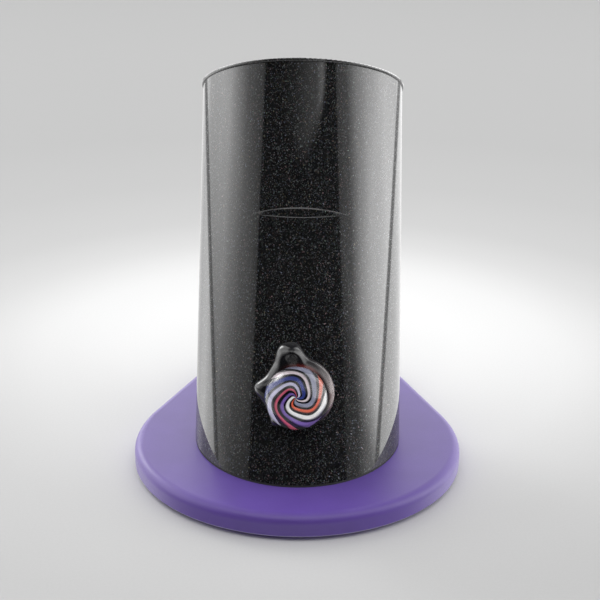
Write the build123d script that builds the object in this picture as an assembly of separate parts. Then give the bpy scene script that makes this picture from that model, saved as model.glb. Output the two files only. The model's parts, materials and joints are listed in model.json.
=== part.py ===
from build123d import *
from math import asin, cos, radians, sin
import os

# Desktop hot-air vaporizer.  Millimetres, +Z up, the front faces -Y.
# Origin: the middle of the object's footprint, on the surface that it stands on.

# ---------- driving dimensions ----------
LEAN = 25.0                 # the housing tube leans back by this many degrees
TUBE_R = 50.8               # 4 inch tube
TUBE_WALL = 3.2
BODY_LENGTH = 176.8         # along the tube's axis, from the plate's top to the top of the cap

PLATE_LENGTH = 209.0
PLATE_FRONT_R = 80.5
PLATE_TAIL_R = 55.0
PLATE_THICK = 10.0
PLATE_ROUND = 4.3           # round of the plate's top edge
FOOT_GAP = 2.0              # the rubber feet hold the plate this far off the table
TUBE_FROM_FRONT = 82.5      # plate's front edge to the middle of the tube's foot

GASKET = 1.0
RING_DEEP = 12.0            # foot ring, measured straight up
RING_IN_R = 34.0
LIP_OVER = 0.8              # the cap's lip stands this far outside the tube
LIP_THICK = 1.5
CAP_DEEP = 7.5              # lip and the disc under it together

PORT_BACK = 18.0            # heater port's axis, behind the tube's axis
COVER_R = 9.4               # outside of the glass heater cover
COVER_WALL = 2.0
COVER_LENGTH = 71.0
COVER_PROUD = 14.0          # the cover's mouth stands this far above the cap
MOUTH_R = 9.2               # ground outside of the mouth, where a wand fits
MOUTH_LENGTH = 8.0
CORE_R = 5.5
CORE_LENGTH = 64.0
DECK_BELOW = 65.3           # heater deck's top, below the top of the cap
DECK_THICK = 2.0
DECK_R = 46.8
SHIELD_R = 20.0
SHIELD_WALL = 0.7

KNOB_HEIGHT = 17.1          # along the tube's axis, from the plate's top
MARBLE_R = 14.0
MARBLE_OUT = 68.5           # centre of the marble, from the tube's axis
MARBLE_BACK = 64.0          # back face of the marble, from the tube's axis
COLLAR_R = 17.0
COLLAR_BACK = 52.3
SHAFT_R = 3.0

STRIP_HEIGHT = 102.4
STRIP_LENGTH = 46.0
STRIP_WIDE = 5.0
STRIP_PROUD = 0.5

GLAND_TURN = 180.0          # turns about the tube's axis are counted from the front towards +X
GLAND_HEIGHT = 52.0
CORD_R = 3.6
FUSE_TURN = 145.0
FUSE_HEIGHT = 46.0
FUSE_BARREL_R = 6.4

SLIP = 0.05                 # radial clearance of a pin in its hole
M3, M4, M5 = 1.5, 2.0, 2.5  # screw radii

# ---------- derived places ----------
PLATE_TOP = FOOT_GAP + PLATE_THICK
PLATE_FRONT_Y = -PLATE_LENGTH / 2 + PLATE_FRONT_R
PLATE_TAIL_Y = PLATE_LENGTH / 2 - PLATE_TAIL_R
FOOT_Y = -PLATE_LENGTH / 2 + TUBE_FROM_FRONT
TUBE_IN_R = TUBE_R - TUBE_WALL
TUBE_TOP = BODY_LENGTH - LIP_THICK
CAP_UNDER = BODY_LENGTH - CAP_DEEP
DECK_TOP = BODY_LENGTH - DECK_BELOW
DECK_UNDER = DECK_TOP - DECK_THICK
SPIGOT_R = TUBE_IN_R - 2 * SLIP
BIG = 400.0

TUBE = Plane(origin=(0, FOOT_Y, PLATE_TOP), x_dir=(1, 0, 0),
             z_dir=(0, sin(radians(LEAN)), cos(radians(LEAN)))).location
PORT = TUBE * Pos(0, PORT_BACK, 0)

PARTS = {}


# ---------- helpers ----------
def node(name, *shapes):
    """Keeps the solids of one sub-part under its name."""
    solids = [solid for shape in shapes for solid in shape.solids()]
    PARTS[name] = solids[0] if len(solids) == 1 else Compound(solids)


def rod(radius, low, high):
    return Pos(0, 0, (low + high) / 2) * Cylinder(radius, high - low)


def ring(outer, inner, low, high):
    return rod(outer, low, high) - rod(inner, low - 1, high + 1)


def block(x_size, y_size, low, high):
    return Pos(0, 0, (low + high) / 2) * Box(x_size, y_size, high - low)


def hex_rod(across, low, high):
    return Pos(0, 0, low) * extrude(RegularPolygon(across / 2, 6, major_radius=False), high - low)


def outward(turn, height):
    """Frame on the tube's axis with +Z pointing out through the wall and +Y along the tube."""
    return TUBE * Pos(0, 0, height) * Rot(0, 0, turn) * Rot(90, 0, 0)


def around(count, radius, start=0.0):
    """Places on a circle about +Z."""
    return [Rot(0, 0, start + 360.0 * k / count) * Pos(radius, 0, 0) for k in range(count)]


def flat_screw(radius, length):
    """Countersunk socket screw: the head's face is at 0 and the shank goes down."""
    head = 2.0 * radius
    cone = Pos(0, 0, -radius / 2) * Cone(radius, head, radius)
    return cone + rod(radius, -length, -radius / 2) - hex_rod(radius * 1.3, -radius * 0.9, 1)


def flat_screw_hole(radius, length):
    """Space for flat_screw, a little wider all round."""
    head = 2.0 * radius + SLIP
    cone = Pos(0, 0, -radius / 2) * Cone(radius, head, radius)
    return cone + rod(radius + SLIP, -length - SLIP, 0)


def button_screw(radius, length):
    """Button-head socket screw: the head stands on 0 and the shank goes down."""
    head = Pos(0, 0, radius * 0.55) * Cone(radius * 1.8, radius * 1.25, radius * 1.1)
    return head + rod(radius, -length, 0) - hex_rod(radius * 1.2, radius * 0.35, radius * 2)


def wire(points, radius, bend):
    """Insulated wire along straight runs joined by arcs."""
    path = FilletPolyline(*points, radius=bend)
    return sweep(Plane(origin=path @ 0, z_dir=path % 0) * Circle(radius), path=path)


def above_plate(gap=0.0, depth=BIG):
    """The space above the plate's top, as a slab."""
    return Pos(0, FOOT_Y, PLATE_TOP + gap + depth / 2) * Box(BIG, BIG, depth)


# ---------- base ----------
def plate_outline():
    """A wide round front and a narrower round tail, joined by their common tangents."""
    tangent = asin((PLATE_FRONT_R - PLATE_TAIL_R) / (PLATE_TAIL_Y - PLATE_FRONT_Y))
    front = (PLATE_FRONT_R * cos(tangent), PLATE_FRONT_Y + PLATE_FRONT_R * sin(tangent))
    tail = (PLATE_TAIL_R * cos(tangent), PLATE_TAIL_Y + PLATE_TAIL_R * sin(tangent))
    front_left, tail_left = (-front[0], front[1]), (-tail[0], tail[1])
    edges = [
        ThreePointArc(front_left, (0, -PLATE_LENGTH / 2), front),
        Line(front, tail),
        ThreePointArc(tail, (0, PLATE_LENGTH / 2), tail_left),
        Line(tail_left, front_left),
    ]
    return make_face(edges)


FOOT_PAD_R, FOOT_PAD_SUNK, FOOT_PAD_PLACES = 7.0, 1.0, [(-46, -72), (46, -72), (-30, 78), (30, 78)]
FOOT_SCREW_LENGTH = 8.0
BASE_SCREW_PLACES = [(0, FOOT_Y - 42.0), (-35.3, FOOT_Y + 25.3), (35.3, FOOT_Y + 25.3)]
BASE_SCREW_LENGTH = 18.0


def foot_places(height):
    return [Pos(x, y, height) for x, y in FOOT_PAD_PLACES]


def base_screw_places(height):
    return [Pos(x, y, height) * Rot(180, 0, 0) for x, y in BASE_SCREW_PLACES]


def base_plate():
    plate = Pos(0, 0, FOOT_GAP) * extrude(plate_outline(), PLATE_THICK)
    plate = fillet(plate.edges().group_by(Axis.Z)[-1], PLATE_ROUND)
    plate = chamfer(plate.edges().group_by(Axis.Z)[0], 0.6)
    for place in foot_places(FOOT_GAP):
        plate -= place * rod(FOOT_PAD_R + SLIP, -1, FOOT_PAD_SUNK)
        plate -= place * rod(M3 + SLIP, 0, FOOT_SCREW_LENGTH)
    for place in base_screw_places(FOOT_GAP):
        plate -= place * flat_screw_hole(M5, BASE_SCREW_LENGTH)
    node("base_plate", plate)
    screw = flat_screw(M5, BASE_SCREW_LENGTH)
    node("base_screws", *[place * screw for place in base_screw_places(FOOT_GAP)])


def rubber_feet():
    head_high, head_r = 1.2, 3.0
    pad = fillet(rod(FOOT_PAD_R, 0, FOOT_GAP + FOOT_PAD_SUNK).edges().group_by(Axis.Z)[0], 0.6)
    pad -= rod(head_r + SLIP, -1, head_high + 0.4) + rod(M3 + SLIP, 0, BIG)
    screw = rod(head_r, 0.4, head_high + 0.4) + rod(M3, 0.4, FOOT_GAP + FOOT_SCREW_LENGTH - 0.5)
    screw -= hex_rod(2.0, 0, 1.2)
    node("rubber_feet", *[place * pad for place in foot_places(0)])
    node("foot_screws", *[place * screw for place in foot_places(0)])


# ---------- housing ----------
RING_SCREW_TURNS, RING_SCREW_HEIGHT, RING_SCREW_LENGTH = (152.0, 208.0), 27.0, 11.0
CAP_SCREW_TURNS, CAP_SCREW_LENGTH = (120.0, 180.0, 240.0), 8.0
CAP_SCREW_HEIGHT = (CAP_UNDER + TUBE_TOP) / 2
GLAND_NECK, BUSH_R = 11.6, 4.7      # the gland's square neck keeps it from turning in the wall


def body_tube():
    tube = TUBE * ring(TUBE_R, TUBE_IN_R, -TUBE_R, TUBE_TOP) & above_plate(GASKET)
    tube -= outward(0, KNOB_HEIGHT) * rod(BUSH_R + SLIP, 0, BIG)
    neck_hole = GLAND_NECK + 2 * SLIP
    tube -= outward(GLAND_TURN, GLAND_HEIGHT) * block(neck_hole, neck_hole, 0, BIG)
    tube -= outward(FUSE_TURN, FUSE_HEIGHT) * rod(FUSE_BARREL_R + SLIP, 0, BIG)
    for turn in RING_SCREW_TURNS:
        tube -= outward(turn, RING_SCREW_HEIGHT) * rod(M4 + SLIP, 0, BIG)
    for turn in CAP_SCREW_TURNS:
        tube -= outward(turn, CAP_SCREW_HEIGHT) * rod(M3 + SLIP, 0, BIG)
    node("body_tube", tube)
    node("foot_gasket", TUBE * ring(TUBE_R - 0.2, TUBE_IN_R, -TUBE_R, BIG) & above_plate(0, GASKET))


def foot_ring():
    body = TUBE * ring(SPIGOT_R, RING_IN_R, -TUBE_R, BIG) & above_plate(0, RING_DEEP)
    for place in base_screw_places(FOOT_GAP):
        body -= place * rod(M5 + SLIP, -BASE_SCREW_LENGTH - 1, 0)
    for turn in RING_SCREW_TURNS:
        body -= outward(turn, RING_SCREW_HEIGHT) * rod(M4 + SLIP, 0, BIG)
    node("foot_ring", body)
    screw = Pos(0, 0, TUBE_R) * button_screw(M4, RING_SCREW_LENGTH)
    node("ring_screws", *[outward(turn, RING_SCREW_HEIGHT) * screw for turn in RING_SCREW_TURNS])


def badge_strip():
    """Plain raised strip, pointed at both ends, that follows the tube's front."""
    bow = (STRIP_LENGTH ** 2 + STRIP_WIDE ** 2) / (4 * STRIP_WIDE)
    lens = Pos(0, bow - STRIP_WIDE / 2) * Circle(bow) & Pos(0, STRIP_WIDE / 2 - bow) * Circle(bow)
    shell = TUBE * ring(TUBE_R + STRIP_PROUD, TUBE_R, STRIP_HEIGHT - 20, STRIP_HEIGHT + 20)
    node("badge_strip", outward(0, STRIP_HEIGHT) * extrude(lens, BIG) & shell)


# ---------- cap and heater port ----------
POST_R, POST_CIRCLE, DECK_SCREW_LENGTH = 3.5, 38.0, 9.0
COLLAR_FLANGE_R, COLLAR_FLANGE, COLLAR_SCREW_CIRCLE = 17.0, 2.0, 14.7
COLLAR_NECK_R, COLLAR_NECK = 12.5, 5.0
COLLAR_SLEEVE_END = CAP_UNDER - 2.0
COLLAR_BORE_R = COVER_R + 0.15
VENT_R, VENT_CIRCLE, VENT_COUNT = 1.6, 21.5, 14


def posts():
    """Places of the three posts that hang the heater deck from the cap."""
    return [TUBE * place for place in around(3, POST_CIRCLE, 30.0)]


def collar_screw_places():
    top = Pos(0, 0, BODY_LENGTH + COLLAR_FLANGE)
    return [PORT * place * top for place in around(4, COLLAR_SCREW_CIRCLE, 45.0)]


def top_cap():
    lip = fillet(rod(TUBE_R + LIP_OVER, TUBE_TOP, BODY_LENGTH).edges(), 0.5)
    cap = TUBE * (lip + rod(SPIGOT_R, CAP_UNDER, TUBE_TOP + 0.1))
    cap -= PORT * rod(COLLAR_NECK_R - 1 + SLIP, 0, BIG)
    for place in around(VENT_COUNT, VENT_CIRCLE):
        cap -= PORT * place * rod(VENT_R, CAP_UNDER - 1, BIG)
    for place in posts():
        cap -= place * Pos(0, 0, BODY_LENGTH) * flat_screw_hole(M3, DECK_SCREW_LENGTH)
    for place in collar_screw_places():
        cap -= place * rod(1 + SLIP, -COLLAR_FLANGE - 5, 0)
    for turn in CAP_SCREW_TURNS:
        cap -= outward(turn, CAP_SCREW_HEIGHT) * rod(M3 + SLIP, 0, BIG)
    node("top_cap", cap)
    screw = Pos(0, 0, TUBE_R) * button_screw(M3, CAP_SCREW_LENGTH)
    node("cap_screws", *[outward(turn, CAP_SCREW_HEIGHT) * screw for turn in CAP_SCREW_TURNS])


def port_collar():
    flange_top = BODY_LENGTH + COLLAR_FLANGE
    collar = rod(COLLAR_FLANGE_R, BODY_LENGTH, flange_top)
    collar = fillet(collar.edges().group_by(Axis.Z)[-1], 0.8)
    neck = rod(COLLAR_NECK_R, BODY_LENGTH, BODY_LENGTH + COLLAR_NECK)
    neck = fillet(neck.edges().group_by(Axis.Z)[-1], 0.8)
    collar += neck + rod(COLLAR_NECK_R - 1, COLLAR_SLEEVE_END, BODY_LENGTH + 0.5)
    collar -= rod(COLLAR_BORE_R, 0, BIG)
    groove_low, groove_high = CAP_UNDER + 1.0, CAP_UNDER + 3.0
    collar -= rod(COVER_R + 1.2, groove_low - SLIP, groove_high + SLIP)
    collar = PORT * collar
    for place in collar_screw_places():
        collar -= place * flat_screw_hole(1.0, 6.0)
    node("port_collar", collar)
    node("collar_screws", *[place * flat_screw(1.0, 6.0) for place in collar_screw_places()])
    clip = ring(COVER_R + 1.15, COVER_R + SLIP, groove_low, groove_high)
    clip -= Pos(0, -COVER_R, 0) * block(3.0, 6.0, groove_low - 1, groove_high + 1)
    node("cover_clip", PORT * clip)


def heater_cover():
    """Glass sleeve over the heater; a wand fits on the ground outside of its mouth."""
    top = BODY_LENGTH + COVER_PROUD
    cover = rod(COVER_R, top - COVER_LENGTH, top - MOUTH_LENGTH) + rod(MOUTH_R, top - MOUTH_LENGTH, top)
    cover -= rod(COVER_R - COVER_WALL, 0, BIG)
    node("heater_cover", PORT * fillet(cover.edges().group_by(Axis.Z)[-1], 0.6))


# ---------- heater ----------
BASE_HIGH, BASE_R = 8.0, 13.0
BORE_OFF, HOT_WIRE_R = 2.1, 0.5
CORE_LOW = DECK_TOP + 1.0
CORE_TOP = CORE_LOW + CORE_LENGTH
LEAD_END = DECK_UNDER - 4.0
CUTOUT_Y = -20.0


def heater_base():
    base = rod(BASE_R, DECK_TOP, DECK_TOP + BASE_HIGH) - rod(CORE_R + SLIP, CORE_LOW, BIG)
    base -= rod(4.2, 0, BIG)
    screw_places = around(2, BASE_R - 2.4)
    for place in screw_places:
        base -= place * Pos(0, 0, DECK_TOP + BASE_HIGH) * flat_screw_hole(1.0, BASE_HIGH + 4)
    screw = Pos(0, 0, DECK_TOP + BASE_HIGH) * flat_screw(1.0, BASE_HIGH + 4)
    node("heater_base", PORT * base)
    node("heater_base_screws", *[PORT * place * screw for place in screw_places])


def heater_core():
    core = rod(CORE_R, CORE_LOW, CORE_TOP)
    for x in (-BORE_OFF, BORE_OFF):
        for y in (-BORE_OFF, BORE_OFF):
            core -= Pos(x, y, 0) * rod(HOT_WIRE_R + 0.3, CORE_LOW - 1, CORE_TOP + 1)
    bridge = CORE_TOP - BORE_OFF - 0.8
    for x in (-BORE_OFF, BORE_OFF):
        core -= Pos(x, 0, 0) * block(2 * HOT_WIRE_R + 0.6, 2 * BORE_OFF, bridge, CORE_TOP + 1)
    node("heater_core", PORT * core)
    half_ring = Torus(BORE_OFF, HOT_WIRE_R) & Pos(0, BIG / 2, 0) * Box(BIG, BIG, BIG)
    element = Pos(0, BORE_OFF, LEAD_END) * Rot(0, 90, 0) * Cylinder(HOT_WIRE_R, 2 * BORE_OFF)
    for x in (-BORE_OFF, BORE_OFF):
        element += Pos(x, 0, bridge) * Plane.YZ.location * half_ring
        for y in (-BORE_OFF, BORE_OFF):
            element += Pos(x, y, 0) * rod(HOT_WIRE_R, LEAD_END, bridge)
    node("heating_wire", PORT * element)


def heat_shield():
    shield = ring(SHIELD_R, SHIELD_R - SHIELD_WALL, DECK_TOP, CAP_UNDER - 1.0)
    tab = Pos(2.5, 0, 0) * block(6.5, 6.0, DECK_TOP, DECK_TOP + SHIELD_WALL)
    tab_places = around(3, SHIELD_R, 90.0)
    for place in tab_places:
        shield += place * tab
    shield = PORT * shield
    rivet_places = [PORT * place * Pos(3.5, 0, DECK_TOP) for place in tab_places]
    for place in rivet_places:
        shield -= place * rod(1 + SLIP, -1, 3)
    rivet = rod(1.8, SHIELD_WALL, SHIELD_WALL + 0.8) + rod(1.0, -DECK_THICK, SHIELD_WALL)
    node("heat_shield", shield)
    node("shield_rivets", *[place * rivet for place in rivet_places])
    return rivet_places


def heater_deck(rivet_places):
    deck = TUBE * rod(DECK_R, DECK_UNDER, DECK_TOP) - PORT * rod(4.5, 0, BIG)
    deck -= TUBE * Pos(*DECK_HOLE, 0) * rod(4.0, 0, BIG)
    for place in posts():
        deck -= place * rod(M3 + SLIP, 0, DECK_TOP + 1)
    for place in around(2, BASE_R - 2.4):
        deck -= PORT * place * rod(1 + SLIP, 0, DECK_TOP + 1)
    for place in rivet_places:
        deck -= place * rod(1 + SLIP, -5, 1)
    for x in CHASSIS_SCREW_X:
        deck -= TUBE * Pos(x, CHASSIS_FLANGE_Y, 0) * rod(M3 + SLIP, 0, DECK_TOP + 1)
    node("heater_deck", deck)
    post = rod(POST_R, DECK_TOP, CAP_UNDER) - rod(M3 + SLIP, 0, BIG)
    node("deck_posts", *[place * post for place in posts()])
    top_screw = Pos(0, 0, BODY_LENGTH) * flat_screw(M3, DECK_SCREW_LENGTH)
    low_screw = Rot(180, 0, 0) * button_screw(M3, 6.0)
    low_places = [place * Pos(0, 0, DECK_UNDER) for place in posts()]
    low_places += [TUBE * Pos(x, CHASSIS_FLANGE_Y, DECK_UNDER - CHASSIS_THICK) for x in CHASSIS_SCREW_X]
    node("cap_post_screws", *[place * top_screw for place in posts()])
    node("deck_screws", *[place * low_screw for place in low_places])


def thermal_cutout():
    body = rod(7.5, DECK_TOP, DECK_TOP + 6.5)
    body += Pos(0, 0, DECK_TOP + 0.4) * Box(24.0, 5.0, 0.8)
    body = fillet(body.edges().group_by(Axis.Z)[-1], 0.8)
    blades = [Pos(x, 0, 0) * block(0.8, 4.0, DECK_TOP + 6.5, DECK_TOP + 15) for x in (-4.0, 4.0)]
    at = TUBE * Pos(0, CUTOUT_Y, 0)
    node("thermal_cutout", at * body)
    return [at * blade for blade in blades]


# ---------- dimmer electronics ----------
CHASSIS_Y, CHASSIS_THICK, CHASSIS_WIDE, CHASSIS_LOW = 24.0, 1.5, 48.0, 54.0
CHASSIS_FLANGE, CHASSIS_FLANGE_Y, CHASSIS_SCREW_X = 14.0, 32.0, (-20.0, 20.0)
BOARD_GAP, BOARD_THICK, BOARD_WIDE, BOARD_LOW, BOARD_HIGH = 6.0, 1.6, 54.0, 54.0, 98.0
BOARD_FRONT = CHASSIS_Y - BOARD_GAP - BOARD_THICK
BOARD_MIDDLE = (BOARD_LOW + BOARD_HIGH) / 2
TERMINAL_HEIGHT, TERMINAL_STEP = BOARD_HIGH - 6.0, 5.0


def board_places():
    """Frames at the board's screws, +Z pointing to the front."""
    return [TUBE * Pos(x, BOARD_FRONT, z) * Rot(90, 0, 0)
            for x in (-20.0, 20.0) for z in (BOARD_LOW + 5, BOARD_HIGH - 5)]


def chassis():
    middle = CHASSIS_Y + CHASSIS_THICK / 2
    sheet = Pos(0, middle, 0) * block(CHASSIS_WIDE, CHASSIS_THICK, CHASSIS_LOW, DECK_UNDER)
    sheet += Pos(0, CHASSIS_Y + CHASSIS_FLANGE / 2, 0) * block(
        CHASSIS_WIDE, CHASSIS_FLANGE, DECK_UNDER - CHASSIS_THICK, DECK_UNDER)
    sheet = TUBE * sheet
    for x in CHASSIS_SCREW_X:
        sheet -= TUBE * Pos(x, CHASSIS_FLANGE_Y, 0) * rod(M3 + SLIP, 0, BIG)
    for place in board_places():
        sheet -= place * rod(M3 + SLIP, -20, 0)
    node("chassis", sheet)


def dimmer_board():
    middle = BOARD_FRONT + BOARD_THICK / 2
    board = TUBE * Pos(0, middle, 0) * block(BOARD_WIDE, BOARD_THICK, BOARD_LOW, BOARD_HIGH)
    spacer = ring(3.0, M3 + SLIP, -BOARD_THICK - BOARD_GAP, -BOARD_THICK)
    for place in board_places():
        board -= place * rod(M3 + SLIP, -3, 1)
    node("dimmer_board", board)
    node("board_spacers", *[place * spacer for place in board_places()])
    node("board_screws", *[place * button_screw(M3, 10.5) for place in board_places()])


def on_board(x, z):
    """Frame on the board's front face, +Z pointing to the front."""
    return TUBE * Pos(x, BOARD_FRONT, z) * Rot(90, 0, 0)


def board_parts():
    choke_at, cap_at = on_board(-14.0, BOARD_MIDDLE - 1), on_board(4.0, BOARD_LOW + 9)
    triac_at, block_at = on_board(12.0, BOARD_MIDDLE - 4), on_board(0.0, TERMINAL_HEIGHT)
    core = fillet(ring(8.5, 4.0, 0.5, 8.0).edges(), 1.2)
    node("choke", choke_at * core)
    film = fillet(block(16.0, 7.5, 0, 11.0).edges(), 0.8)
    node("film_capacitor", cap_at * film)
    package = block(10.0, 4.5, 4.0, 13.0)
    legs = [Pos(x, 0, 0) * block(0.8, 0.6, 0, 4.0) for x in (-2.5, 0, 2.5)]
    node("triac", triac_at * package, *[triac_at * leg for leg in legs])
    fins = Pos(0, 3.9, 0) * block(20.0, 3.0, 2.0, 18.0)
    for k in range(4):
        fins += Pos(-7.5 + 5 * k, 7.4, 0) * block(1.2, 4.0, 2.0, 18.0)
    node("heat_sink", triac_at * fins)
    terminals = block(20.0, 8.0, 0, 9.0)
    for k in range(4):
        terminals -= Pos(-7.5 + 5 * k, 0, 0) * rod(1.6, 5.0, 10.0)
        terminals -= Pos(-7.5 + 5 * k, 5.0, 2.8) * Box(3.0, 8.0, 3.0)
    node("terminal_block", block_at * terminals)
    screws = [block_at * Pos(-7.5 + 5 * k, 0, 0) * rod(1.5, 5.0, 6.6) for k in range(4)]
    node("terminal_screws", *screws)


# ---------- control and knob ----------
CONTROL = outward(0, KNOB_HEIGHT)
CAN_FACE, CAN_R, CAN_DEEP, CAN_SKIN = 45.9, 12.0, 10.0, 0.5
TRACK_THICK, SWITCH_DEEP, BUSH_END, NUT_THICK, WASHER_THICK = 1.2, 9.0, 55.5, 2.4, 0.8
CAN_BACK = CAN_FACE - CAN_DEEP
SHAFT_TIP, SHAFT_TAIL = 63.5, CAN_BACK + TRACK_THICK + 1.0
HUB_R, HUB_LOW, POCKET_R = 4.8, 56.2, 9.2
SWIRL_R, SWIRL_TOP = 11.0, 66.5


def control():
    can = ring(CAN_R, CAN_R - CAN_SKIN, CAN_BACK, CAN_FACE)
    can += ring(CAN_R, SHAFT_R + 1.7, CAN_FACE - CAN_SKIN, CAN_FACE)
    bush = rod(BUSH_R, CAN_FACE - 0.4, BUSH_END) + rod(SHAFT_R + 1.6, CAN_FACE - 2.5, CAN_FACE)
    bush -= rod(SHAFT_R + SLIP, 0, BIG)
    spacer = ring(8.0, BUSH_R + SLIP, CAN_FACE, CAN_FACE + 0.9)
    washer = ring(8.0, BUSH_R + SLIP, TUBE_R, TUBE_R + WASHER_THICK)
    nut_low = TUBE_R + WASHER_THICK
    nut = hex_rod(12.0, nut_low, nut_low + NUT_THICK) - rod(BUSH_R + SLIP, 0, BIG)
    node("control_can", CONTROL * (can - rod(BUSH_R + SLIP, CAN_FACE - 0.45, BIG)))
    node("control_bush", CONTROL * bush)
    node("control_spacer", CONTROL * spacer)
    node("control_washer", CONTROL * washer)
    node("control_nut", CONTROL * nut)
    track = rod(CAN_R - CAN_SKIN - SLIP, CAN_BACK, CAN_BACK + TRACK_THICK)
    node("resistance_track", CONTROL * track)
    lugs = [CONTROL * Pos(x, -14.0, 0) * block(2.2, 4.0, CAN_BACK + 0.2, CAN_BACK + 1.0)
            for x in (-5, 0, 5)]
    back = CAN_BACK - SWITCH_DEEP
    switch = fillet(rod(CAN_R, back, CAN_BACK).edges().group_by(Axis.Z)[0], 1.0)
    blades = [CONTROL * Pos(x, 0, 0) * block(0.8, 4.0, back - 6, back) for x in (-5, 5)]
    node("power_switch", CONTROL * switch)
    node("control_terminals", *lugs, *blades)


def shaft_and_wiper():
    shaft = rod(SHAFT_R, SHAFT_TAIL, SHAFT_TIP)
    shaft -= Pos(0, SHAFT_R + 2.0, 0) * block(10, 5.0, HUB_LOW + 0.5, SHAFT_TIP + 1)
    node("control_shaft", CONTROL * shaft)
    wiper = ring(SHAFT_R + 1.5, SHAFT_R + 0.01, SHAFT_TAIL, SHAFT_TAIL + 2.0)
    wiper += Pos(0, -6.0, 0) * block(3.0, 5.0, SHAFT_TAIL, SHAFT_TAIL + 0.5)
    node("control_wiper", CONTROL * wiper)


LUMPS = [  # x, y and radius of the lumps on the glass collar; the first is the pointer
    (-2.4, 17.8, 5.8),
    (-14.6, 3.8, 3.4),
    (-9.0, -10.6, 4.2),
]


def knob():
    middle = (COLLAR_BACK + MARBLE_BACK) / 2
    collar = fillet(rod(COLLAR_R, COLLAR_BACK, MARBLE_BACK).edges(), 4.0)
    for x, y, radius in LUMPS:
        collar += Pos(x, y, middle) * Sphere(radius)
    collar -= rod(POCKET_R, 0, HUB_LOW) + rod(HUB_R + SLIP, 0, BIG)
    node("knob_collar", CONTROL * collar)
    hub = rod(HUB_R, HUB_LOW, MARBLE_BACK - SLIP) - rod(SHAFT_R + 0.03, 0, SHAFT_TIP + SLIP)
    hub += Pos(0, 3.5, 0) * block(3.2, 1.9, HUB_LOW + 1.0, MARBLE_BACK - SLIP)
    node("knob_hub", CONTROL * hub)
    marble = Pos(0, 0, MARBLE_OUT) * Sphere(MARBLE_R) & rod(BIG, MARBLE_BACK, BIG)
    marble -= rod(SWIRL_R + SLIP, 0, SWIRL_TOP + SLIP)
    node("knob_marble", CONTROL * marble)
    node("knob_swirl", CONTROL * rod(SWIRL_R, MARBLE_BACK + SLIP, SWIRL_TOP))


# ---------- cord gland and fuse ----------
GLAND_BARREL_R, GLAND_END, GLAND_INNER, PANEL_NUT_OUT = 5.6, 60.0, 42.0, 46.6
FUSE_FLANGE_R, FUSE_BACK, FUSE_BORE_R, FUSE_STEM_R = 8.5, 20.0, 5.2, 4.9
FUSE_CAP_TOP, FUSE_LOW, FUSE_HIGH, LINK_R, FUSE_TAG_END = 62.0, 24.0, 48.0, 2.6, 14.0


def gland():
    at = outward(GLAND_TURN, GLAND_HEIGHT)
    body = rod(GLAND_BARREL_R, GLAND_INNER, TUBE_R + 1) + hex_rod(17.0, TUBE_R, TUBE_R + 3.0)
    body += block(GLAND_NECK, GLAND_NECK, TUBE_IN_R, TUBE_R + 1)
    nose = fillet(rod(7.0, TUBE_R + 2, GLAND_END).edges().group_by(Axis.Z)[-1], 2.0)
    node("cord_gland", at * (body + nose - rod(CORD_R, 0, BIG)))
    nut = hex_rod(16.0, PANEL_NUT_OUT - 4.0, PANEL_NUT_OUT)
    return at * (nut - rod(GLAND_BARREL_R + SLIP, 0, BIG))


def fuse_holder():
    at = outward(FUSE_TURN, FUSE_HEIGHT)
    barrel = rod(FUSE_BARREL_R, FUSE_BACK, TUBE_R + 1)
    flange = fillet(rod(FUSE_FLANGE_R, TUBE_R, TUBE_R + 2.5).edges().group_by(Axis.Z)[-1], 0.6)
    node("fuse_holder", at * (barrel + flange - rod(FUSE_BORE_R, FUSE_BACK + 1.2, BIG)))
    cap = fillet(rod(6.6, TUBE_R + 2.6, FUSE_CAP_TOP).edges().group_by(Axis.Z)[-1], 1.0)
    for place in around(16, 6.6):
        cap -= place * rod(0.35, TUBE_R + 4.0, FUSE_CAP_TOP + 1)
    cap += ring(FUSE_STEM_R, LINK_R + SLIP, FUSE_HIGH - 8, TUBE_R + 3.0)
    cap -= rod(LINK_R + SLIP, 0, FUSE_HIGH + SLIP)
    cap -= block(7.0, 1.0, FUSE_CAP_TOP - 0.8, FUSE_CAP_TOP + 1)
    node("fuse_cap", at * cap)
    node("fuse_link_glass", at * rod(LINK_R - 0.3, FUSE_LOW + 5, FUSE_HIGH - 5))
    ends = [at * rod(LINK_R, FUSE_LOW, FUSE_LOW + 5), at * rod(LINK_R, FUSE_HIGH - 5, FUSE_HIGH)]
    node("fuse_link_ends", *ends)
    nut = hex_rod(16.0, PANEL_NUT_OUT - 3.5, PANEL_NUT_OUT) - rod(FUSE_BARREL_R + SLIP, 0, BIG)
    tags = [at * Pos(0, y, 0) * block(2.4, 0.6, FUSE_TAG_END, FUSE_BACK) for y in (-3.0, 3.0)]
    return at * nut, tags


# ---------- wiring ----------
WIRE_R = 0.9
DECK_HOLE = (-30.0, -24.0)


def heater_wiring():
    """Heater leads to the two middle terminals, and the cut-out's leads to the outer two."""
    entry_y, entry_z = BOARD_FRONT - 2.8, TERMINAL_HEIGHT + 4.0
    back = PORT_BACK - BORE_OFF
    wires = [[(x, back, LEAD_END), (x, back, LEAD_END - 3),
              (x * 1.2, entry_y, entry_z + 2), (x * 1.2, entry_y, entry_z - 2)]
             for x in (-BORE_OFF, BORE_OFF)]
    over = DECK_TOP + 22.0
    hole_x, hole_y = DECK_HOLE
    for x, at_x, low in ((-4.0, hole_x - 1.6, 3.0), (4.0, hole_x + 1.6, 6.5)):
        end_x = 1.5 * TERMINAL_STEP * (1 if x > 0 else -1)
        high, under = over + x / 2, DECK_UNDER - low
        wires.append([
            (x, CUTOUT_Y, DECK_TOP + 15), (x, CUTOUT_Y, high), (at_x, hole_y, high),
            (at_x, hole_y, under), (end_x, entry_y, under), (end_x, entry_y, entry_z - 2)])
    node("heater_wires", *[TUBE * wire(points, WIRE_R, 2.0) for points in wires])


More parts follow.
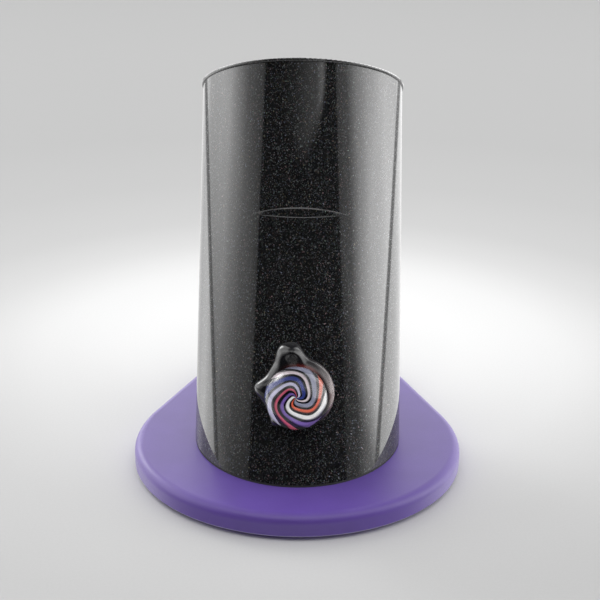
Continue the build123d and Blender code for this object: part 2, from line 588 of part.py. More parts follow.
def control_wiring():
    """Two wires from the switch and two from the dimmer's variable resistor, all to the board."""
    height, end = BOARD_LOW + 3.5, BOARD_FRONT
    blade_y = -(CAN_BACK - SWITCH_DEEP - 6)
    wires = [[(x, blade_y, KNOB_HEIGHT), (x, -10, KNOB_HEIGHT), (x, -3, 32), (x, -3, height),
              (x, end, height)] for x in (-5, 5)]
    lug_y, lug_z = -CAN_BACK + 0.4, KNOB_HEIGHT - 16.8
    wires += [[(x, lug_y, lug_z), (x, lug_y + 8, lug_z - 5), (to_x, -4, 1), (to_x, 9, 24),
               (to_x, 9, height), (to_x, end, height)]
              for x, to_x in ((-5, -15), (0, -10))]
    node("control_wires", *[TUBE * wire(points, WIRE_R, 3.0) for points in wires])


def fuse_wiring():
    turn = radians(FUSE_TURN)
    out = (sin(turn), -cos(turn))
    height = FUSE_HEIGHT + 3.0
    points = [(reach * out[0], reach * out[1], height) for reach in (FUSE_TAG_END, FUSE_TAG_END - 3.5)]
    points += [(13, 5, BOARD_LOW + 3), (13, BOARD_FRONT, BOARD_LOW + 3)]
    node("fuse_wire", TUBE * wire(points, WIRE_R, 1.5))


def main():
    base_plate()
    rubber_feet()
    body_tube()
    foot_ring()
    badge_strip()
    top_cap()
    port_collar()
    heater_cover()
    heater_base()
    heater_core()
    heater_deck(heat_shield())
    cutout_blades = thermal_cutout()
    chassis()
    dimmer_board()
    board_parts()
    control()
    shaft_and_wiper()
    knob()
    gland_nut = gland()
    fuse_nut, fuse_tags = fuse_holder()
    node("panel_nuts", gland_nut, fuse_nut)
    node("spade_terminals", *cutout_blades, *fuse_tags)
    heater_wiring()
    control_wiring()
    fuse_wiring()
    os.makedirs("parts", exist_ok=True)
    for name, shape in PARTS.items():
        export_step(shape, f"parts/{name}.step")


main()
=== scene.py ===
import json
from math import asin, atan2, cos, degrees, exp, pi, radians, sin, sqrt

import bpy
import numpy as np
from mathutils import Matrix, Vector


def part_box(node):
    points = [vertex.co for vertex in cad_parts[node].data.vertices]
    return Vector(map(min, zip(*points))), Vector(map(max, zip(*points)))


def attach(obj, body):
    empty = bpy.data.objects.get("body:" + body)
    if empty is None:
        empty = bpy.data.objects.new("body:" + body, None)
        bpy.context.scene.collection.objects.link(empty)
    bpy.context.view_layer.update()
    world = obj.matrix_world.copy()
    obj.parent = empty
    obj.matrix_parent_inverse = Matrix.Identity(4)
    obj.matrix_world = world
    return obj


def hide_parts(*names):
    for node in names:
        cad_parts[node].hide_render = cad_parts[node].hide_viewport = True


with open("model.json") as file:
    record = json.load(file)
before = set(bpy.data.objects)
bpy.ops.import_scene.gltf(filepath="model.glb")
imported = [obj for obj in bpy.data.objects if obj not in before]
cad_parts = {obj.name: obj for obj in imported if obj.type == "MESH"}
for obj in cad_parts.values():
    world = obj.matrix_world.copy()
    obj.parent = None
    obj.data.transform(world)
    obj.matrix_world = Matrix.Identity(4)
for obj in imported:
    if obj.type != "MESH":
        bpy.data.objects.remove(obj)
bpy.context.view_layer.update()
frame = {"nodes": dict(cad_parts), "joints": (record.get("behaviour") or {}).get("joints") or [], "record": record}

# Looks of a desktop hot-air vaporizer.  Metres, in the CAD model's own frame: +Z up, the front faces -Y.
MM = 0.001
TUBE_R = 50.8                                     # mm
JOINTS = {joint["name"]: joint for joint in frame["joints"]}
KNOB_OUT, KNOB_HEIGHT = 60.0 * MM, 17.1 * MM      # the knob joint's place in the tube's frame
TUBE_AXIS = Vector(JOINTS["cover_slide"]["axis"])
KNOB_AXIS = Vector(JOINTS["knob_turn"]["axis"])
KNOB_AT = Vector(JOINTS["knob_turn"]["pos_m"])
FOOT_AT = KNOB_AT - KNOB_OUT * KNOB_AXIS - KNOB_HEIGHT * TUBE_AXIS


def basis(origin, x_axis, y_axis, z_axis):
    """Matrix from a frame given by its origin and axes to the model's frame."""
    turn = Matrix((x_axis, y_axis, z_axis)).transposed().to_4x4()
    return Matrix.Translation(origin) @ turn


# The knob's own frame in millimetres: X to the right, Y up the tube, Z out of the tube.
KNOB = basis(KNOB_AT, Vector((1, 0, 0)), TUBE_AXIS, KNOB_AXIS) @ Matrix.Scale(MM, 4)


# ---------- camera ----------
def make_camera():
    """The photograph's view: from in front and above, turned a little in its own plane."""
    distance, height, aside = 604.1 * MM, radians(26.467), 8.29 * MM
    pitch, yaw, roll = radians(20.147), radians(-0.8095), radians(0.53)
    place = FOOT_AT + Vector((aside, -distance * cos(height), distance * sin(height)))
    ahead = Vector((sin(yaw) * cos(pitch), cos(yaw) * cos(pitch), -sin(pitch)))
    level = Vector((cos(yaw), -sin(yaw), 0))
    up = level.cross(ahead)
    right = cos(roll) * level + sin(roll) * up
    camera = bpy.data.objects.new("camera", bpy.data.cameras.new("camera"))
    camera.data.sensor_width = 36.0
    camera.data.lens = 72.0
    camera.data.clip_start = 0.01
    bpy.context.scene.collection.objects.link(camera)
    camera.matrix_world = basis(place, right, right.cross(ahead), -ahead)
    bpy.context.scene.camera = camera
    bpy.context.scene.view_settings.view_transform = "Standard"


# ---------- node helpers ----------
def ramp(tree, source, stops, kind="LINEAR"):
    """Colour ramp from (position, colour or grey) stops."""
    node = tree.nodes.new("ShaderNodeValToRGB")
    node.color_ramp.interpolation = kind
    elements = node.color_ramp.elements
    while len(elements) < len(stops):
        elements.new(0.5)
    for element, (position, colour) in zip(elements, stops):
        element.position = position
        grey = not isinstance(colour, tuple)
        element.color = (colour, colour, colour, 1) if grey else (*colour, 1)
    tree.links.new(source, node.inputs["Fac"])
    return node.outputs["Color"]


def maths(tree, operation, *values):
    """Math node; a value is a number or a socket."""
    node = tree.nodes.new("ShaderNodeMath")
    node.operation = operation
    for socket, value in zip(node.inputs, values):
        if isinstance(value, (int, float)):
            socket.default_value = value
        else:
            tree.links.new(value, socket)
    return node.outputs["Value"]


def table(tree, source, stops):
    """Value by straight lines through (input, value) stops; both ends stay level."""
    low, high = stops[0][0], stops[-1][0]
    top = max(value for _, value in stops) or 1.0
    part = maths(tree, "DIVIDE", maths(tree, "SUBTRACT", source, low), high - low)
    grey = ramp(tree, part, [((at - low) / (high - low), value / top) for at, value in stops])
    return maths(tree, "MULTIPLY", grey, top)


def mix_colour(tree, factor, first, second, mode="MIX"):
    node = tree.nodes.new("ShaderNodeMix")
    node.data_type = "RGBA"
    node.blend_type = mode
    sockets = [socket for socket in node.inputs if socket.enabled]
    for socket, value in zip(sockets, (factor, first, second)):
        if isinstance(value, (int, float)):
            socket.default_value = value
        elif isinstance(value, tuple):
            socket.default_value = (*value, 1)
        else:
            tree.links.new(value, socket)
    return node.outputs["Result"]


def blend_value(tree, factor, first, second):
    """first where factor is 0 and second where it is 1."""
    change = maths(tree, "SUBTRACT", second, first)
    return maths(tree, "MULTIPLY_ADD", change, factor, first)


# ---------- studio light ----------
# Brightness of the tent by degrees round from the front.  PANEL is its upper half, and TABLE its lower half.
RIGHT_PANEL = [(62, 0.0), (64, 0.6), (74, 1.0), (84, 3.2), (95, 4.6), (115, 4.4), (135, 2.2), (180, 2.6)]
LEFT_PANEL = [(56, 0.0), (58, 0.5), (76, 1.2), (90, 2.5), (98, 3.5), (108, 3.5), (130, 2.3), (180, 2.6)]
RIGHT_TABLE = [(0, 1.4), (60, 0.9), (85, 1.2), (105, 2.9), (120, 2.8), (180, 1.2)]
LEFT_TABLE = [(0, 1.4), (60, 0.8), (85, 0.9), (105, 2.3), (125, 2.8), (145, 1.5), (180, 1.0)]
OVERHEAD = [(0, 1.9), (70, 1.6), (100, 0.5), (180, 0.15)]
RIGHT_SLANT, LEFT_SLANT = 0.49, 0.19         # how far the panels' edges slant for each degree upwards
LAMPS = ((-137.0, 7.0), (138.0, 1.2))        # round soft lamps behind: degrees from the front, brightness
LAMP_RISE, LAMP_CORE, LAMP_EDGE = 27.0, 6.0, 15.0
BACKDROP = 0.507                             # seen past the floor, and as bright as its far part


def make_world():
    """A light tent: dark in front, a tall soft panel at each side and a pale top.

    Shiny surfaces see its lower half in place of the floor.
    """
    world = bpy.data.worlds.new("studio")
    bpy.context.scene.world = world
    world.use_nodes = True
    tree = world.node_tree
    split = tree.nodes.new("ShaderNodeSeparateXYZ")
    tree.links.new(tree.nodes.new("ShaderNodeTexCoord").outputs["Generated"], split.inputs["Vector"])
    x, y, z = (split.outputs[name] for name in "XYZ")
    turn = maths(tree, "MULTIPLY", maths(tree, "ARCTAN2", x, maths(tree, "MULTIPLY", y, -1.0)), 180 / pi)
    away = maths(tree, "ABSOLUTE", turn)
    rise = maths(tree, "MULTIPLY", maths(tree, "ARCSINE", z), 180 / pi)
    is_right = maths(tree, "GREATER_THAN", x, 0.0)

    right = table(tree, maths(tree, "MULTIPLY_ADD", rise, RIGHT_SLANT, away), RIGHT_PANEL)
    right = maths(tree, "MULTIPLY", right, table(tree, rise, [(10, 1.0), (15, 0.87), (20, 0.74), (28, 0.64)]))
    above_edge = maths(tree, "MULTIPLY_ADD", maths(tree, "SUBTRACT", away, 80.0), 0.6, rise)
    right = maths(tree, "MULTIPLY", right, table(tree, above_edge, [(3.0, 0.32), (7.5, 1.0)]))
    left = table(tree, maths(tree, "MULTIPLY_ADD", rise, LEFT_SLANT, away), LEFT_PANEL)
    left = maths(tree, "MULTIPLY", left, table(tree, rise, [(18, 1.0), (27, 0.78)]))
    above_edge = maths(tree, "MULTIPLY_ADD", maths(tree, "SUBTRACT", away, 90.0), 0.3, rise)
    left = maths(tree, "MULTIPLY", left, table(tree, above_edge, [(-1.0, 0.3), (3.0, 0.5), (14.0, 1.0)]))
    upper = blend_value(tree, is_right, left, right)

    right_low = table(tree, away, RIGHT_TABLE)
    left_low = table(tree, away, LEFT_TABLE)
    lower = blend_value(tree, is_right, left_low, right_low)
    lower = maths(tree, "MULTIPLY", lower, table(tree, rise, [(-24, 0.75), (-9, 1.0)]))
    light = blend_value(tree, table(tree, rise, [(-7.0, 1.0), (-5.0, 0.0)]), upper, lower)
    gap = table(tree, rise, [(-8.4, 1.0), (-7.2, 0.3), (-5.5, 0.3), (-4.4, 1.0)])
    light = maths(tree, "MULTIPLY", light, gap)

    glow = table(tree, turn, [(-30, 0.0), (-10, 0.1), (20, 0.5), (28, 1.2), (34, 0.0)])
    glow = maths(tree, "MULTIPLY", glow, table(tree, rise, [(36.2, 0.0), (37.6, 1.0)]))
    light = maths(tree, "ADD", light, glow)
    for middle, power in LAMPS:
        off = maths(tree, "POWER", maths(tree, "SUBTRACT", turn, middle), 2.0)
        high = maths(tree, "POWER", maths(tree, "SUBTRACT", rise, LAMP_RISE), 2.0)
        away_from = maths(tree, "POWER", maths(tree, "ADD", off, high), 0.5)
        light = maths(tree, "ADD", light, table(tree, away_from, [(LAMP_CORE, power), (LAMP_EDGE, 0.0)]))
    overhead = table(tree, away, OVERHEAD)
    light = blend_value(tree, table(tree, rise, [(44, 0.0), (56, 1.0)]), light, overhead)

    seen = tree.nodes.new("ShaderNodeLightPath").outputs["Is Camera Ray"]
    sky = tree.nodes["Background"]
    sky.inputs["Color"].default_value = (1.0, 1.0, 1.0, 1)
    tree.links.new(blend_value(tree, seen, light, BACKDROP), sky.inputs["Strength"])


# ---------- floor ----------
FLOOR_WHITE = 0.735
FLOOR_HALF = 7.0                                  # m from the origin to the floor's edges
PAINTED_POOL_AT = 0.12                                    # m behind the origin
# Painted pool of light: the paper's colour by metres from its middle, lighter there and darker outwards.
PAINTED_POOL = [(0.0, 1.0), (0.10, 1.0), (0.16, 0.93), (0.22, 0.76), (0.28, 0.66), (0.4, 0.6), (0.6, 0.56),
        (1.2, 0.55), (2.5, 0.5)]


def floor_painted_pool():
    """White paper with a painted pool of light: its colour is lighter in the middle and fades darker outwards."""
    mat, tree, bsdf = new_material("floor_painted_pool")
    split = tree.nodes.new("ShaderNodeSeparateXYZ")
    tree.links.new(place_of(tree), split.inputs["Vector"])
    aside = maths(tree, "POWER", split.outputs["X"], 2.0)
    along = maths(tree, "POWER", maths(tree, "SUBTRACT", split.outputs["Y"], PAINTED_POOL_AT), 2.0)
    away = maths(tree, "SQRT", maths(tree, "ADD", aside, along))
    grain = spread(tree, noise(tree, 900.0, 3.0), FLOOR_WHITE * 0.985, FLOOR_WHITE * 1.015)
    # The base colour carries the painted pool of light, times a fine real grain.
    shade = maths(tree, "MULTIPLY", table(tree, away, PAINTED_POOL), grain)
    white = ramp(tree, shade, [(0.0, 0.0), (1.0, 1.0)])
    tree.links.new(white, bsdf.inputs["Base Color"])
    bsdf.inputs["Roughness"].default_value = 0.9
    bsdf.inputs["Specular IOR Level"].default_value = 0.1
    return mat


def make_floor():
    corners = [(FLOOR_HALF * x, FLOOR_HALF * y, 0) for x, y in ((-1, -1), (1, -1), (1, 1), (-1, 1))]
    floor = mesh_object("floor", corners, [(0, 1, 2, 3)], floor_painted_pool())
    floor.visible_glossy = False


# ---------- mesh helpers ----------
def mesh_object(name, points, faces, material, smooth=True):
    mesh = bpy.data.meshes.new(name)
    mesh.from_pydata([tuple(p) for p in points], [], faces)
    mesh.validate()
    mesh.polygons.foreach_set("use_smooth", [smooth] * len(mesh.polygons))
    mesh.materials.append(material)
    piece = bpy.data.objects.new(name, mesh)
    bpy.context.scene.collection.objects.link(piece)
    return piece


def rings_mesh(name, rings, material, place=Matrix(), loop=False, start_cap=False, end_cap=False):
    """Surface through rings of equally many points; loop joins the last ring to the first."""
    count = len(rings[0])
    points = [place @ Vector(p) for ring in rings for p in ring]
    faces = []
    last = len(rings) if loop else len(rings) - 1
    for i in range(last):
        low, high = i * count, (i + 1) % len(rings) * count
        for k in range(count):
            n = (k + 1) % count
            faces.append((low + k, low + n, high + n, high + k))
    if start_cap:
        faces.append(tuple(reversed(range(count))))
    if end_cap:
        faces.append(tuple(range((len(rings) - 1) * count, len(rings) * count)))
    return mesh_object(name, points, faces, material)


def circle(radius, z, count):
    return [(radius * cos(2 * pi * k / count), radius * sin(2 * pi * k / count), z) for k in range(count)]


def stand_in(piece, body, slot, *nodes):
    """The piece rides on the body and takes the place of the CAD nodes."""
    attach(piece, body)
    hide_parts(*nodes)


# ---------- material helpers ----------
def new_material(name):
    mat = bpy.data.materials.new(name)
    mat.use_nodes = True
    return mat, mat.node_tree, mat.node_tree.nodes["Principled BSDF"]


def place_of(tree):
    return tree.nodes.new("ShaderNodeTexCoord").outputs["Object"]


def noise(tree, scale, detail=2.0, stretch=None):
    node = tree.nodes.new("ShaderNodeTexNoise")
    node.inputs["Scale"].default_value = scale
    node.inputs["Detail"].default_value = detail
    source = place_of(tree)
    if stretch:
        mapping = tree.nodes.new("ShaderNodeMapping")
        mapping.inputs["Scale"].default_value = stretch
        tree.links.new(source, mapping.inputs["Vector"])
        source = mapping.outputs["Vector"]
    tree.links.new(source, node.inputs["Vector"])
    return node.outputs["Fac"]


def cells(tree, scale):
    """Three random values for each cell of a fine pattern."""
    node = tree.nodes.new("ShaderNodeTexVoronoi")
    node.inputs["Scale"].default_value = scale
    tree.links.new(place_of(tree), node.inputs["Vector"])
    parts = tree.nodes.new("ShaderNodeSeparateColor")
    tree.links.new(node.outputs["Color"], parts.inputs["Color"])
    return node.outputs["Color"], [parts.outputs[name] for name in ("Red", "Green", "Blue")]


def bump(tree, bsdf, height, strength, distance):
    node = tree.nodes.new("ShaderNodeBump")
    node.inputs["Strength"].default_value = strength
    node.inputs["Distance"].default_value = distance
    tree.links.new(height, node.inputs["Height"])
    tree.links.new(node.outputs["Normal"], bsdf.inputs["Normal"])


def spread(tree, value, low, high):
    """Noise, which mostly lies between 0.3 and 0.7, brought to the range from low to high."""
    node = tree.nodes.new("ShaderNodeMapRange")
    node.inputs["From Min"].default_value = 0.3
    node.inputs["From Max"].default_value = 0.7
    node.inputs["To Min"].default_value = low
    node.inputs["To Max"].default_value = high
    tree.links.new(value, node.inputs["Value"])
    return node.outputs["Result"]


def shades(tree, value, colour, contrast):
    """The colour, a little darker and lighter with value."""
    dark = tuple(c * (1 - contrast) for c in colour)
    light = tuple(min(1.0, c * (1 + contrast)) for c in colour)
    return ramp(tree, value, [(0.3, dark), (0.7, light)])


def vector_maths(tree, operation, *values):
    """Vector Math node; a value is a number triple or a socket."""
    node = tree.nodes.new("ShaderNodeVectorMath")
    node.operation = operation
    for socket, value in zip(node.inputs, values):
        if isinstance(value, tuple):
            socket.default_value = value
        else:
            tree.links.new(value, socket)
    return node.outputs["Vector"]


# ---------- materials ----------
FLAKE_CELLS = 2300.0         # flakes in a metre
FLAKE_TILT = 0.3


def flake_black():
    """Black lacquer with very fine flakes under a thick clear coat."""
    mat, tree, bsdf = new_material("flake_black")
    colour, (pick, hue, depth) = cells(tree, FLAKE_CELLS)
    grey = ramp(tree, depth, [(0.0, 0.006), (0.5, 0.012), (0.8, 0.025), (0.93, 0.05), (1.0, 0.11)])
    tints = [(0.0, (0.97, 0.99, 1.04)), (0.5, (0.84, 1.08, 0.95)), (0.66, (0.85, 0.95, 1.25)),
             (0.82, (1.25, 0.85, 0.9)), (0.93, (1.2, 1.05, 0.75))]
    tint = ramp(tree, hue, tints, "CONSTANT")
    tree.links.new(mix_colour(tree, 1.0, grey, tint, "MULTIPLY"), bsdf.inputs["Base Color"])
    tree.links.new(maths(tree, "GREATER_THAN", pick, 0.9), bsdf.inputs["Metallic"])
    bsdf.inputs["Roughness"].default_value = 0.35
    lean = vector_maths(tree, "MULTIPLY_ADD", colour, (2 * FLAKE_TILT,) * 3, (-FLAKE_TILT,) * 3)
    outward = tree.nodes.new("ShaderNodeNewGeometry").outputs["Normal"]
    tilted = vector_maths(tree, "NORMALIZE", vector_maths(tree, "ADD", outward, lean))
    tree.links.new(tilted, bsdf.inputs["Normal"])
    bsdf.inputs["Specular IOR Level"].default_value = 0.0
    bsdf.inputs["Coat Weight"].default_value = 1.0
    bsdf.inputs["Coat Roughness"].default_value = 0.02
    bsdf.inputs["Coat IOR"].default_value = 1.7
    return mat


def powder_purple():
    """Satin powder coat with a fine orange-peel texture."""
    mat, tree, bsdf = new_material("plate_finish")
    soft = noise(tree, 60.0, 2.0)
    tree.links.new(shades(tree, soft, (0.105, 0.056, 0.30), 0.05), bsdf.inputs["Base Color"])
    peel = noise(tree, 1500.0, 3.0)
    tree.links.new(spread(tree, peel, 0.36, 0.46), bsdf.inputs["Roughness"])
    bump(tree, bsdf, peel, 0.12, 0.0004)
    return mat


def metal(name, colour, low, high, grain=500.0, stretch=None, contrast=0.08):
    mat, tree, bsdf = new_material(name)
    lines = noise(tree, grain, 3.0, stretch)
    tree.links.new(shades(tree, lines, colour, contrast), bsdf.inputs["Base Color"])
    bsdf.inputs["Metallic"].default_value = 1.0
    tree.links.new(spread(tree, lines, low, high), bsdf.inputs["Roughness"])
    bump(tree, bsdf, lines, 0.08, 0.0002)
    return mat


def solid(name, colour, low, high, grain=400.0, contrast=0.08, depth=0.1):
    """Plastic, rubber, ceramic or resin: an even colour with fine texture."""
    mat, tree, bsdf = new_material(name)
    texture = noise(tree, grain, 3.0)
    tree.links.new(shades(tree, texture, colour, contrast), bsdf.inputs["Base Color"])
    tree.links.new(spread(tree, texture, low, high), bsdf.inputs["Roughness"])
    bump(tree, bsdf, texture, depth, 0.0003)
    return mat


def let_lamps_through(tree, bsdf, colour):
    """Shadow rays pass through the glass, so that what is inside is lit."""
    clear = tree.nodes.new("ShaderNodeBsdfTransparent")
    clear.inputs["Color"].default_value = (*(0.6 + 0.4 * c for c in colour), 1)
    switch = tree.nodes.new("ShaderNodeMixShader")
    shadow = tree.nodes.new("ShaderNodeLightPath").outputs["Is Shadow Ray"]
    tree.links.new(shadow, switch.inputs["Fac"])
    tree.links.new(bsdf.outputs["BSDF"], switch.inputs[1])
    tree.links.new(clear.outputs["BSDF"], switch.inputs[2])
    tree.links.new(switch.outputs["Shader"], tree.nodes["Material Output"].inputs["Surface"])


def glass(name, colour, rough, streak=0.03):
    mat, tree, bsdf = new_material(name)
    streaks = noise(tree, 160.0, 2.0)
    bsdf.inputs["Transmission Weight"].default_value = 1.0
    bsdf.inputs["IOR"].default_value = 1.47
    tree.links.new(shades(tree, streaks, colour, streak), bsdf.inputs["Base Color"])
    tree.links.new(spread(tree, streaks, rough, rough + 0.02), bsdf.inputs["Roughness"])
    bump(tree, bsdf, streaks, 0.04, 0.0003)
    let_lamps_through(tree, bsdf, colour)
    return mat


def smoke_glass():
    """Dark, slightly cloudy glass, tinted pink where the colours of the marble run into it."""
    mat, tree, bsdf = new_material("smoke_glass")
    paint = tree.nodes.new("ShaderNodeVertexColor")
    paint.layer_name = "tint"
    wisps = noise(tree, 220.0, 3.0)
    shade = ramp(tree, wisps, [(0.3, 0.75), (0.7, 1.0)])
    tinted = mix_colour(tree, 1.0, paint.outputs["Color"], shade, "MULTIPLY")
    tree.links.new(tinted, bsdf.inputs["Base Color"])
    bsdf.inputs["Transmission Weight"].default_value = 0.55
    bsdf.inputs["IOR"].default_value = 1.5
    tree.links.new(spread(tree, wisps, 0.03, 0.07), bsdf.inputs["Roughness"])
    return mat


def swirl_glass():
    """Opaque coloured glass; the colours are laid on the mesh as ribbons, with fine threads in them."""
    mat, tree, bsdf = new_material("swirl_glass")
    paint = tree.nodes.new("ShaderNodeVertexColor")
    paint.layer_name = "swirl"
    threads = noise(tree, 700.0, 3.0, (1.0, 1.0, 0.4))
    shade = ramp(tree, threads, [(0.3, 0.86), (0.7, 1.0)])
    tinted = mix_colour(tree, 1.0, paint.outputs["Color"], shade, "MULTIPLY")
    tree.links.new(tinted, bsdf.inputs["Base Color"])
    bsdf.inputs["Roughness"].default_value = 0.3
    bsdf.inputs["Specular IOR Level"].default_value = 0.1
    return mat


def make_materials():
    return {
        "plate_finish": powder_purple(),
        "flake_black": flake_black(),
        "black_rubber": solid("black_rubber", (0.018, 0.018, 0.018), 0.6, 0.8),
        "steel": metal("steel", (0.62, 0.62, 0.63), 0.22, 0.38),
        "black_steel": metal("black_steel", (0.05, 0.05, 0.055), 0.3, 0.5),
        "alloy": metal("alloy", (0.78, 0.78, 0.79), 0.25, 0.4),
        "black_alloy": metal("black_alloy", (0.035, 0.035, 0.04), 0.3, 0.42),
        "brass": metal("brass", (0.75, 0.55, 0.24), 0.2, 0.36),
        "clear_glass": glass("clear_glass", (0.93, 0.97, 0.96), 0.02),
        "smoke_glass": smoke_glass(),
        "marble_glass": glass("marble_glass", (0.98, 0.98, 0.99), 0.0),
        "ceramic": solid("ceramic", (0.82, 0.8, 0.74), 0.55, 0.75),
        "hot_wire": metal("hot_wire", (0.28, 0.26, 0.24), 0.4, 0.6),
        "board_green": solid("board_green", (0.03, 0.16, 0.07), 0.25, 0.4, 250.0, 0.2),
        "black_plastic": solid("black_plastic", (0.016, 0.016, 0.017), 0.3, 0.45, 700.0, 0.1),
        "green_plastic": solid("green_plastic", (0.06, 0.3, 0.14), 0.35, 0.5),
        "red_plastic": solid("red_plastic", (0.4, 0.045, 0.035), 0.25, 0.4),
        "ferrite": solid("ferrite", (0.09, 0.09, 0.085), 0.5, 0.7, 900.0, 0.2),
        "phenolic": solid("phenolic", (0.14, 0.075, 0.035), 0.4, 0.6, 600.0, 0.25),
        "red_wire": solid("red_wire", (0.45, 0.035, 0.025), 0.35, 0.5),
        "white_wire": solid("white_wire", (0.75, 0.73, 0.68), 0.6, 0.8, 1600.0, 0.15, 0.3),
        "fuse_glass": glass("fuse_glass", (0.95, 0.97, 0.97), 0.0),
        "swirl_glass": swirl_glass(),
    }


def dress_nodes():
    """Every CAD node that stays gets the material of its own slot."""
    for part in frame["record"]["subparts"]:
        node = frame["nodes"][part["node"]]
        node.data.materials.clear()
        node.data.materials.append(MATERIALS[part["material_slot"]])


# ---------- knob: glass collar ----------
MARBLE_R, MARBLE_OUT, MARBLE_BACK = 14.0, 8.5, 4.0       # the knob's sizes are in mm in its own frame
COLLAR_BACK, COLLAR_FRONT, POCKET_R, POCKET_END, HUB_R = -7.7, 3.9, 9.2, -3.8, 4.9
COLLAR_X, COLLAR_Y, COLLAR_CIRCLE = 1.0, 2.5, 16.4
LUMPS = ((99.0, 17.5, 6.9, 3.2), (118.0, 14.0, 1.2, 2), (166.0, 15.0, 3.9, 2), (230.0, 12.0, 2.6, 2))
BEAD_AT, BEAD_WIDE, BEAD_TALL = (-2.4, 20.6), 3.4, 2.6     # the pointer's rounded bead
CLEAR_TINT, PINK_TINT, RED_TINT = (0.022, 0.022, 0.026), (0.50, 0.33, 0.33), (0.42, 0.07, 0.06)


def collar_radius(angle):
    """Outline of the hand-made collar: a circle off the middle with a pointer and two smaller lumps."""
    across = COLLAR_X * cos(angle) + COLLAR_Y * sin(angle)
    radius = across + sqrt(across ** 2 - COLLAR_X ** 2 - COLLAR_Y ** 2 + COLLAR_CIRCLE ** 2)
    for middle, wide, tall, power in LUMPS:              # where, half width in degrees, height, squareness
        off = (degrees(angle) - middle + 180) % 360 - 180
        radius += tall * exp(-abs(off / wide) ** power)
    return radius


def collar_tint(x, y):
    """Smoky glass that turns pink at the right and red next to the marble's top right."""
    reach, turn = sqrt(x * x + y * y), degrees(atan2(y, x))
    pink = exp(-((turn - 2.0) / 34.0) ** 2) * min(1.0, max(0.0, (reach - 14.6) / 1.2))
    red = exp(-((turn - 74.0) / 26.0) ** 2) * exp(-((reach - 14.4) / 0.7) ** 2)
    mixed = [c + 0.8 * pink * (p - c) for c, p in zip(CLEAR_TINT, PINK_TINT)]
    return [c + red * (r - c) for c, r in zip(mixed, RED_TINT)]


def paint_points(piece, layer, colours):
    """Colours, one for each point of the mesh, as a named layer."""
    paint = piece.data.color_attributes.new(layer, "FLOAT_COLOR", "POINT")
    paint.data.foreach_set("color", np.column_stack((colours, np.ones(len(colours)))).ravel())


def make_collar():
    around, rounding, across, edge = 360, 18, 12, 6.4
    half = (COLLAR_FRONT - COLLAR_BACK) / 2
    middle = (COLLAR_FRONT + COLLAR_BACK) / 2
    profile = []                                         # (share of the outline kept, inset, height)
    for k in range(rounding + 1):
        t = -pi / 2 + pi * k / rounding
        profile.append((0.0, edge * (1 - cos(t)), middle + half * sin(t)))
    for k in range(1, across):
        profile.append((k / across, edge, COLLAR_FRONT))
    rings = []
    for inwards, inset, z in profile:
        ring = []
        for k in range(around):
            a = 2 * pi * k / around
            radius = (collar_radius(a) - inset) * (1 - inwards) + (HUB_R + 0.1) * inwards
            x, y = radius * cos(a), radius * sin(a)
            bead = exp(-((x - BEAD_AT[0]) ** 2 + (y - BEAD_AT[1]) ** 2) / BEAD_WIDE ** 2)
            ring.append((x, y, z + BEAD_TALL * bead * max(0.0, (z - middle) / half)))
        rings.append(ring)
    for radius, z in ((HUB_R + 0.1, COLLAR_FRONT), (HUB_R, COLLAR_FRONT - 0.1), (HUB_R, POCKET_END),
                      (POCKET_R, POCKET_END), (POCKET_R, COLLAR_BACK)):
        rings.append(circle(radius, z, around))
    piece = rings_mesh("knob_collar_glass", rings, MATERIALS["smoke_glass"], KNOB, loop=True)
    paint_points(piece, "tint", [collar_tint(x, y) for ring in rings for x, y, _ in ring])
    stand_in(piece, "knob", "smoke_glass", "knob_collar")


# ---------- knob: marble ----------
def make_marble():
    around, levels = 192, 72
    low = asin(-(MARBLE_OUT - MARBLE_BACK) / MARBLE_R)
    rings = []
    for k in range(levels):
        t = low + (pi / 2 - low) * k / levels
        rings.append(circle(MARBLE_R * cos(t), MARBLE_OUT + MARBLE_R * sin(t), around))
    piece = rings_mesh("knob_marble_glass", rings, MATERIALS["marble_glass"], KNOB,
                       start_cap=True, end_cap=True)
    stand_in(piece, "knob", "marble_glass", "knob_marble")


# ---------- knob: swirl inside the marble ----------
SWIRL_Z, SWIRL_BACK, MARBLE_IOR = 4.5, 4.25, 1.47
SWIRL_GROUND = (0.012, 0.012, 0.017)
RIBBON_TALL, RIBBON_SOFT = 0.7, 5.0                      # height in mm, soft edge in degrees
SWIRL_TWIST, SWIRL_SWAY = 210.0, 7.0                     # degrees from the rim to the middle, and of waviness

# Evenly spaced ribbons of coloured glass: colour and half width in degrees.
RIBBONS = (((0.95, 0.94, 0.95), 15.0), ((0.85, 0.15, 0.08), 11.0), ((0.33, 0.34, 0.46), 17.0),
           ((0.85, 0.74, 0.79), 11.0), ((0.05, 0.07, 0.30), 15.0), ((0.62, 0.60, 0.80), 13.0),
           ((0.58, 0.10, 0.17), 9.0), ((0.20, 0.12, 0.42), 13.0))


def paint_swirl(x, y):
    """Colour and height of a pinwheel of twisted ribbons at places on the dome."""
    reach, turn = np.hypot(x, y), np.arctan2(y, x)
    sway = SWIRL_SWAY * np.sin(3 * turn + 5 * reach)
    phase = np.degrees(turn) + SWIRL_TWIST * (1 - reach) + sway
    colour = np.tile(SWIRL_GROUND, (len(x), 1))
    height = np.zeros(len(x))
    for k, (tone, wide) in enumerate(RIBBONS):
        off = np.abs((phase - 360 * k / len(RIBBONS) + 180) % 360 - 180)
        cover = np.clip(0.5 + (wide - off) / RIBBON_SOFT, 0, 1)
        cover = cover * cover * (3 - 2 * cover)
        threads = 1 + 0.1 * np.sin(1.3 * off)
        colour += cover[:, None] * (np.array(tone) * threads[:, None] - colour)
        height += cover * (RIBBON_TALL - height)
    return np.minimum(colour, 1), height


def behind_dome(shown):
    """Radius on the swirl's disc, in mm, that the dome shows at a part of the marble's radius."""
    surface = asin(shown)
    bend = surface - asin(shown / MARBLE_IOR)
    return MARBLE_R * shown - (MARBLE_OUT - SWIRL_Z + MARBLE_R * cos(surface)) * sin(bend) / cos(bend)


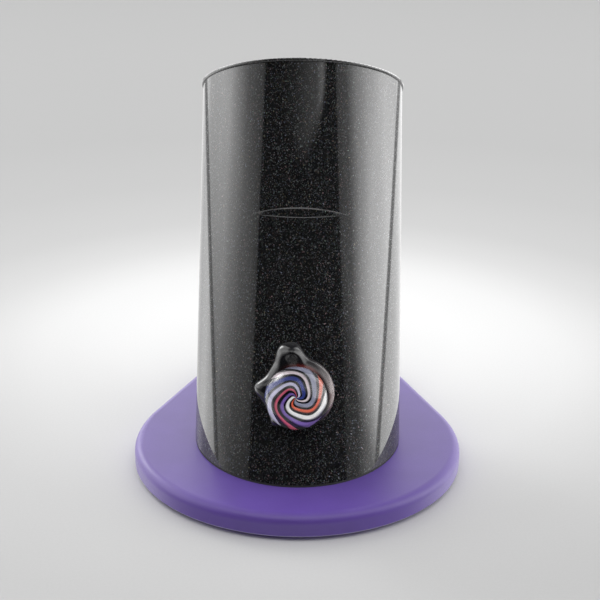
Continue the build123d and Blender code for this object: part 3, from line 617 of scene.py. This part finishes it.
def make_swirl():
    around, levels = 300, 96
    shown = [(k + 0.5) / levels for k in range(levels)]
    turn = np.linspace(0, 2 * pi, around, endpoint=False)
    x = np.outer(shown, np.cos(turn)).ravel()
    y = np.outer(shown, np.sin(turn)).ravel()
    colour, height = paint_swirl(x, y)
    height *= np.repeat([min(1.0, (1 - h) / 0.08) for h in shown], around)
    rings = []
    for k, part in enumerate(shown):
        radius = behind_dome(part)
        lift = height[k * around:(k + 1) * around]
        rings.append([(radius * cos(a), radius * sin(a), SWIRL_Z + h) for a, h in zip(turn, lift)])
    rings.append(circle(behind_dome(shown[-1]), SWIRL_BACK, around))
    piece = rings_mesh("knob_swirl_glass", rings, MATERIALS["swirl_glass"], KNOB,
                       start_cap=True, end_cap=True)
    paint_points(piece, "swirl", np.vstack((colour, colour[-around:])))
    stand_in(piece, "knob", "swirl_glass", "knob_swirl")


# ---------- raised strip on the tube ----------
def tube_point(aside, height, radius):
    """Place on the housing: mm round its front, mm up its axis and mm out from the axis."""
    turn = aside / TUBE_R
    out = Vector((sin(turn), 0, 0)) + cos(turn) * KNOB_AXIS
    return FOOT_AT + MM * (height * TUBE_AXIS + radius * out)


STRIP_HALF, STRIP_TALL, STRIP_SINK = 23.0, 0.5, 0.3      # mm: half length, height, depth of its back


def make_strip():
    """Plain pointed strip with rounded edges, a little wavy as if pressed by hand."""
    low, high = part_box("badge_strip")
    middle = (Vector((0, low[1] + high[1], low[2] + high[2])) / 2 - FOOT_AT).dot(TUBE_AXIS) / MM
    wide = (high[2] - low[2]) / MM / TUBE_AXIS.z / 2
    along, across = 120, 24
    rings = []
    for k in range(1, along):
        s = -1 + 2 * k / along
        half = wide * (1 - s * s)
        sway = 0.12 * sin(7 * s + 0.6) * (1 - s * s)
        rise = min(1.0, 2.2 * (1 - abs(s)))
        ring = []
        for j in range(across + 1):
            v = -1 + 2 * j / across
            lift = STRIP_TALL * rise * (1 - abs(v) ** (9 if v > 0 else 3.5))
            ring.append(tube_point(s * STRIP_HALF, middle + v * half + sway * (1 - v * v), TUBE_R + lift))
        ring.append(tube_point(s * STRIP_HALF, middle, TUBE_R - STRIP_SINK))
        rings.append(ring)
    piece = rings_mesh("badge_strip_round", rings, MATERIALS["flake_black"], start_cap=True, end_cap=True)
    stand_in(piece, "housing", "flake_black", "badge_strip")


MATERIALS = make_materials()
make_camera()
make_world()
make_floor()
dress_nodes()
make_collar()
make_marble()
make_swirl()
make_strip()
